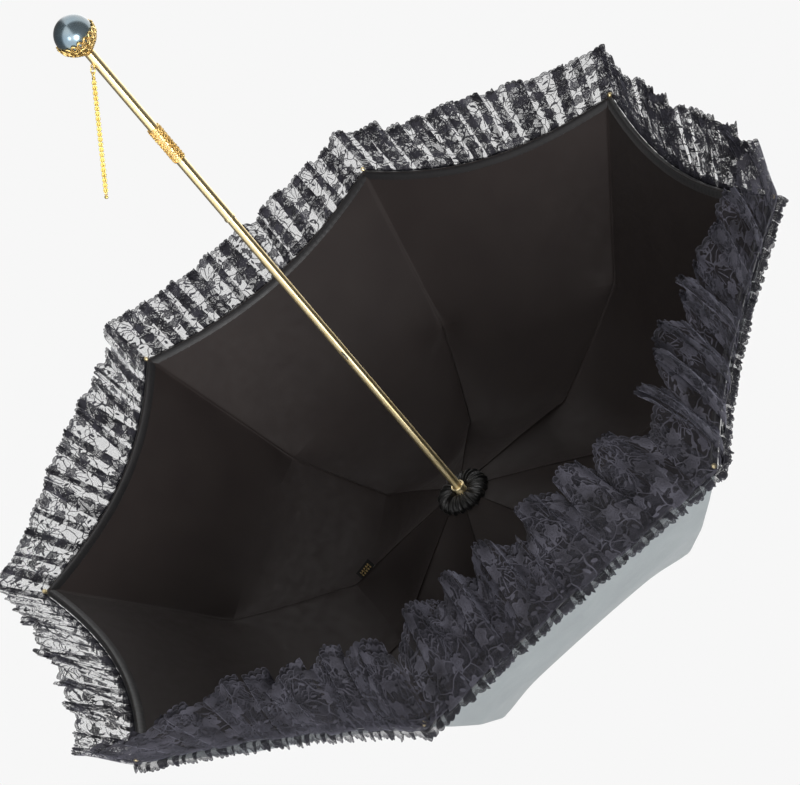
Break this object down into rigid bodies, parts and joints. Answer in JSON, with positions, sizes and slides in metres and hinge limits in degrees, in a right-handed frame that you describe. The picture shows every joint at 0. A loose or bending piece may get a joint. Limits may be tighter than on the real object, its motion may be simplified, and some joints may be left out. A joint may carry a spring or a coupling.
{
  "type": "lace parasol",
  "caption": "Open folding parasol with a domed double-cloth canopy, a deep black lace ruffle, a slim gilt shaft, a grey pearl knob and a wrist chain.",
  "frame": {"origin": "on the shaft's axis at the middle of the hand grip", "axes": "+Z along the shaft from the knob to the ferrule; +X toward the first rib"},
  "size_m": [0.9196, 0.8884, 0.8741],
  "materials": {
    "gilt_brass": "polished gilt",
    "rib_steel": "plain",
    "grey_pearl": "pearlescent gloss",
    "outer_cloth": "satin sheen",
    "satin_lining": "soft satin",
    "black_lace": "matte lace",
    "woven_label": "woven"
  },
  "bodies": {
    "stick": {"shaft": "gilt_brass", "handle_sleeve": "gilt_brass", "pearl_knob": "grey_pearl", "knob_setting": "gilt_brass", "ferrule": "gilt_brass", "top_notch": "gilt_brass"},
    "runner": {"runner": "gilt_brass", "rosette": "satin_lining"},
    "runner_catch": {"runner_catch": "rib_steel"},
    "chain_ring": {"chain_ring": "gilt_brass"},
    "wrist_chain": {"wrist_chain": "gilt_brass"},
    "rib_inner_1": {"rib_inner_1": "rib_steel", "outer_cloth_1": "outer_cloth", "lining_1": "satin_lining"},
    "rib_outer_1": {"rib_outer_1": "gilt_brass"},
    "stretcher_1": {"stretcher_1": "rib_steel"},
    "lace_ruffle_1": {"lace_ruffle_1": "black_lace"},
    "rib_inner_2": {"rib_inner_2": "rib_steel", "outer_cloth_2": "outer_cloth", "lining_2": "satin_lining", "label": "woven_label"},
    "rib_outer_2": {"rib_outer_2": "gilt_brass"},
    "stretcher_2": {"stretcher_2": "rib_steel"},
    "lace_ruffle_2": {"lace_ruffle_2": "black_lace"},
    "rib_inner_3": {"rib_inner_3": "rib_steel", "outer_cloth_3": "outer_cloth", "lining_3": "satin_lining"},
    "rib_outer_3": {"rib_outer_3": "gilt_brass"},
    "stretcher_3": {"stretcher_3": "rib_steel"},
    "lace_ruffle_3": {"lace_ruffle_3": "black_lace"},
    "rib_inner_4": {"rib_inner_4": "rib_steel", "outer_cloth_4": "outer_cloth", "lining_4": "satin_lining"},
    "rib_outer_4": {"rib_outer_4": "gilt_brass"},
    "stretcher_4": {"stretcher_4": "rib_steel"},
    "lace_ruffle_4": {"lace_ruffle_4": "black_lace"},
    "rib_inner_5": {"rib_inner_5": "rib_steel", "outer_cloth_5": "outer_cloth", "lining_5": "satin_lining"},
    "rib_outer_5": {"rib_outer_5": "gilt_brass"},
    "stretcher_5": {"stretcher_5": "rib_steel"},
    "lace_ruffle_5": {"lace_ruffle_5": "black_lace"},
    "rib_inner_6": {"rib_inner_6": "rib_steel", "outer_cloth_6": "outer_cloth", "lining_6": "satin_lining"},
    "rib_outer_6": {"rib_outer_6": "gilt_brass"},
    "stretcher_6": {"stretcher_6": "rib_steel"},
    "lace_ruffle_6": {"lace_ruffle_6": "black_lace"},
    "rib_inner_7": {"rib_inner_7": "rib_steel", "outer_cloth_7": "outer_cloth", "lining_7": "satin_lining"},
    "rib_outer_7": {"rib_outer_7": "gilt_brass"},
    "stretcher_7": {"stretcher_7": "rib_steel"},
    "lace_ruffle_7": {"lace_ruffle_7": "black_lace"},
    "rib_inner_8": {"rib_inner_8": "rib_steel", "outer_cloth_8": "outer_cloth", "lining_8": "satin_lining"},
    "rib_outer_8": {"rib_outer_8": "gilt_brass"},
    "stretcher_8": {"stretcher_8": "rib_steel"},
    "lace_ruffle_8": {"lace_ruffle_8": "black_lace"}
  },
  "joints": [
    {"name": "runner_slide", "type": "slide", "parent": "stick", "child": "runner", "axis": [0, 0, 1], "range_m": [-0.24141, 0], "deforming": ["outer_cloth_1", "outer_cloth_2", "outer_cloth_3", "outer_cloth_4", "outer_cloth_5", "outer_cloth_6", "outer_cloth_7", "outer_cloth_8", "lining_1", "lining_2", "lining_3", "lining_4", "lining_5", "lining_6", "lining_7", "lining_8", "lace_ruffle_1", "lace_ruffle_2", "lace_ruffle_3", "lace_ruffle_4", "lace_ruffle_5", "lace_ruffle_6", "lace_ruffle_7", "lace_ruffle_8", "label"]},
    {"name": "catch_press", "type": "slide", "parent": "stick", "child": "runner_catch", "axis": [-0.7071, 0.7071, 0], "range_m": [0, 0.001], "stiffness_N_per_m": 500, "springref_m": -0.001},
    {"name": "ring_swing", "type": "hinge", "parent": "stick", "child": "chain_ring", "pos_m": [0.00696, -0.00073, -0.0506], "axis": [0.1045, 0.9945, 0], "range_deg": [-20, 60]},
    {"name": "chain_swing", "type": "hinge", "parent": "chain_ring", "child": "wrist_chain", "pos_m": [0.01116, -0.00117, -0.04579], "axis": [0.1045, 0.9945, 0], "range_deg": [-10, 38]},
    {"name": "rib_1_swing", "type": "hinge", "parent": "stick", "child": "rib_inner_1", "pos_m": [0.011, 0, 0.6666], "axis": [0, 1, 0], "range_deg": [0, 74.3]},
    {"name": "rib_1_flex", "type": "hinge", "parent": "rib_inner_1", "child": "rib_outer_1", "pos_m": [0.304, 0, 0.6037], "axis": [0, 1, 0], "range_deg": [-34.18, 0]},
    {"name": "stretcher_1_swing", "type": "hinge", "parent": "runner", "child": "stretcher_1", "pos_m": [0.012, 0, 0.594], "axis": [0, 1, 0], "range_deg": [-70.59, 0]},
    {"name": "ruffle_1_fold", "type": "hinge", "parent": "rib_outer_1", "child": "lace_ruffle_1", "pos_m": [0.44, 0, 0.44], "axis": [0, 1, 0], "range_deg": [-50.17, 0]},
    {"name": "rib_2_swing", "type": "hinge", "parent": "stick", "child": "rib_inner_2", "pos_m": [0.00778, 0.00778, 0.6666], "axis": [-0.7071, 0.7071, 0], "range_deg": [0, 74.3]},
    {"name": "rib_2_flex", "type": "hinge", "parent": "rib_inner_2", "child": "rib_outer_2", "pos_m": [0.21496, 0.21496, 0.6037], "axis": [-0.7071, 0.7071, 0], "range_deg": [-34.18, 0]},
    {"name": "stretcher_2_swing", "type": "hinge", "parent": "runner", "child": "stretcher_2", "pos_m": [0.00848, 0.00848, 0.594], "axis": [-0.7071, 0.7071, 0], "range_deg": [-70.59, 0]},
    {"name": "ruffle_2_fold", "type": "hinge", "parent": "rib_outer_2", "child": "lace_ruffle_2", "pos_m": [0.31113, 0.31113, 0.44], "axis": [-0.7071, 0.7071, 0], "range_deg": [-22.17, 0]},
    {"name": "rib_3_swing", "type": "hinge", "parent": "stick", "child": "rib_inner_3", "pos_m": [0, 0.011, 0.6666], "axis": [-1, 0, 0], "range_deg": [0, 74.3]},
    {"name": "rib_3_flex", "type": "hinge", "parent": "rib_inner_3", "child": "rib_outer_3", "pos_m": [0, 0.304, 0.6037], "axis": [-1, 0, 0], "range_deg": [-34.18, 0]},
    {"name": "stretcher_3_swing", "type": "hinge", "parent": "runner", "child": "stretcher_3", "pos_m": [0, 0.012, 0.594], "axis": [-1, 0, 0], "range_deg": [-70.59, 0]},
    {"name": "ruffle_3_fold", "type": "hinge", "parent": "rib_outer_3", "child": "lace_ruffle_3", "pos_m": [0, 0.44, 0.44], "axis": [-1, 0, 0], "range_deg": [-46.17, 0]},
    {"name": "rib_4_swing", "type": "hinge", "parent": "stick", "child": "rib_inner_4", "pos_m": [-0.00778, 0.00778, 0.6666], "axis": [-0.7071, -0.7071, 0], "range_deg": [0, 74.3]},
    {"name": "rib_4_flex", "type": "hinge", "parent": "rib_inner_4", "child": "rib_outer_4", "pos_m": [-0.21496, 0.21496, 0.6037], "axis": [-0.7071, -0.7071, 0], "range_deg": [-34.18, 0]},
    {"name": "stretcher_4_swing", "type": "hinge", "parent": "runner", "child": "stretcher_4", "pos_m": [-0.00848, 0.00848, 0.594], "axis": [-0.7071, -0.7071, 0], "range_deg": [-70.59, 0]},
    {"name": "ruffle_4_fold", "type": "hinge", "parent": "rib_outer_4", "child": "lace_ruffle_4", "pos_m": [-0.31113, 0.31113, 0.44], "axis": [-0.7071, -0.7071, 0], "range_deg": [-52.17, 0]},
    {"name": "rib_5_swing", "type": "hinge", "parent": "stick", "child": "rib_inner_5", "pos_m": [-0.011, 0, 0.6666], "axis": [0, -1, 0], "range_deg": [0, 74.3]},
    {"name": "rib_5_flex", "type": "hinge", "parent": "rib_inner_5", "child": "rib_outer_5", "pos_m": [-0.304, 0, 0.6037], "axis": [0, -1, 0], "range_deg": [-34.18, 0]},
    {"name": "stretcher_5_swing", "type": "hinge", "parent": "runner", "child": "stretcher_5", "pos_m": [-0.012, 0, 0.594], "axis": [0, -1, 0], "range_deg": [-70.59, 0]},
    {"name": "ruffle_5_fold", "type": "hinge", "parent": "rib_outer_5", "child": "lace_ruffle_5", "pos_m": [-0.44, 0, 0.44], "axis": [0, -1, 0], "range_deg": [-20.17, 0]},
    {"name": "rib_6_swing", "type": "hinge", "parent": "stick", "child": "rib_inner_6", "pos_m": [-0.00778, -0.00778, 0.6666], "axis": [0.7071, -0.7071, 0], "range_deg": [0, 74.3]},
    {"name": "rib_6_flex", "type": "hinge", "parent": "rib_inner_6", "child": "rib_outer_6", "pos_m": [-0.21496, -0.21496, 0.6037], "axis": [0.7071, -0.7071, 0], "range_deg": [-34.18, 0]},
    {"name": "stretcher_6_swing", "type": "hinge", "parent": "runner", "child": "stretcher_6", "pos_m": [-0.00848, -0.00848, 0.594], "axis": [0.7071, -0.7071, 0], "range_deg": [-70.59, 0]},
    {"name": "ruffle_6_fold", "type": "hinge", "parent": "rib_outer_6", "child": "lace_ruffle_6", "pos_m": [-0.31113, -0.31113, 0.44], "axis": [0.7071, -0.7071, 0], "range_deg": [-34.17, 0]},
    {"name": "rib_7_swing", "type": "hinge", "parent": "stick", "child": "rib_inner_7", "pos_m": [0, -0.011, 0.6666], "axis": [1, 0, 0], "range_deg": [0, 74.3]},
    {"name": "rib_7_flex", "type": "hinge", "parent": "rib_inner_7", "child": "rib_outer_7", "pos_m": [0, -0.304, 0.6037], "axis": [1, 0, 0], "range_deg": [-34.18, 0]},
    {"name": "stretcher_7_swing", "type": "hinge", "parent": "runner", "child": "stretcher_7", "pos_m": [0, -0.012, 0.594], "axis": [1, 0, 0], "range_deg": [-70.59, 0]},
    {"name": "ruffle_7_fold", "type": "hinge", "parent": "rib_outer_7", "child": "lace_ruffle_7", "pos_m": [0, -0.44, 0.44], "axis": [1, 0, 0], "range_deg": [-80.17, 0]},
    {"name": "rib_8_swing", "type": "hinge", "parent": "stick", "child": "rib_inner_8", "pos_m": [0.00778, -0.00778, 0.6666], "axis": [0.7071, 0.7071, 0], "range_deg": [0, 74.3]},
    {"name": "rib_8_flex", "type": "hinge", "parent": "rib_inner_8", "child": "rib_outer_8", "pos_m": [0.21496, -0.21496, 0.6037], "axis": [0.7071, 0.7071, 0], "range_deg": [-34.18, 0]},
    {"name": "stretcher_8_swing", "type": "hinge", "parent": "runner", "child": "stretcher_8", "pos_m": [0.00848, -0.00848, 0.594], "axis": [0.7071, 0.7071, 0], "range_deg": [-70.59, 0]},
    {"name": "ruffle_8_fold", "type": "hinge", "parent": "rib_outer_8", "child": "lace_ruffle_8", "pos_m": [0.31113, -0.31113, 0.44], "axis": [0.7071, 0.7071, 0], "range_deg": [-82.17, 0]}
  ],
  "couplings": [
    {"joint": "rib_1_swing", "follows": "runner_slide", "rad_per_m": -5.3681},
    {"joint": "rib_1_flex", "follows": "runner_slide", "rad_per_m": 2.4675},
    {"joint": "stretcher_1_swing", "follows": "runner_slide", "rad_per_m": 5.0998},
    {"joint": "ruffle_1_fold", "follows": "runner_slide", "rad_per_m": 3.6235},
    {"joint": "rib_2_swing", "follows": "runner_slide", "rad_per_m": -5.3681},
    {"joint": "rib_2_flex", "follows": "runner_slide", "rad_per_m": 2.4675},
    {"joint": "stretcher_2_swing", "follows": "runner_slide", "rad_per_m": 5.0998},
    {"joint": "ruffle_2_fold", "follows": "runner_slide", "rad_per_m": 1.5992},
    {"joint": "rib_3_swing", "follows": "runner_slide", "rad_per_m": -5.3681},
    {"joint": "rib_3_flex", "follows": "runner_slide", "rad_per_m": 2.4675},
    {"joint": "stretcher_3_swing", "follows": "runner_slide", "rad_per_m": 5.0998},
    {"joint": "ruffle_3_fold", "follows": "runner_slide", "rad_per_m": 3.3344},
    {"joint": "rib_4_swing", "follows": "runner_slide", "rad_per_m": -5.3681},
    {"joint": "rib_4_flex", "follows": "runner_slide", "rad_per_m": 2.4675},
    {"joint": "stretcher_4_swing", "follows": "runner_slide", "rad_per_m": 5.0998},
    {"joint": "ruffle_4_fold", "follows": "runner_slide", "rad_per_m": 3.7681},
    {"joint": "rib_5_swing", "follows": "runner_slide", "rad_per_m": -5.3681},
    {"joint": "rib_5_flex", "follows": "runner_slide", "rad_per_m": 2.4675},
    {"joint": "stretcher_5_swing", "follows": "runner_slide", "rad_per_m": 5.0998},
    {"joint": "ruffle_5_fold", "follows": "runner_slide", "rad_per_m": 1.4546},
    {"joint": "rib_6_swing", "follows": "runner_slide", "rad_per_m": -5.3681},
    {"joint": "rib_6_flex", "follows": "runner_slide", "rad_per_m": 2.4675},
    {"joint": "stretcher_6_swing", "follows": "runner_slide", "rad_per_m": 5.0998},
    {"joint": "ruffle_6_fold", "follows": "runner_slide", "rad_per_m": 2.4668},
    {"joint": "rib_7_swing", "follows": "runner_slide", "rad_per_m": -5.3681},
    {"joint": "rib_7_flex", "follows": "runner_slide", "rad_per_m": 2.4675},
    {"joint": "stretcher_7_swing", "follows": "runner_slide", "rad_per_m": 5.0998},
    {"joint": "ruffle_7_fold", "follows": "runner_slide", "rad_per_m": 5.7925},
    {"joint": "rib_8_swing", "follows": "runner_slide", "rad_per_m": -5.3681},
    {"joint": "rib_8_flex", "follows": "runner_slide", "rad_per_m": 2.4675},
    {"joint": "stretcher_8_swing", "follows": "runner_slide", "rad_per_m": 5.0998},
    {"joint": "ruffle_8_fold", "follows": "runner_slide", "rad_per_m": 5.9371}
  ]
}
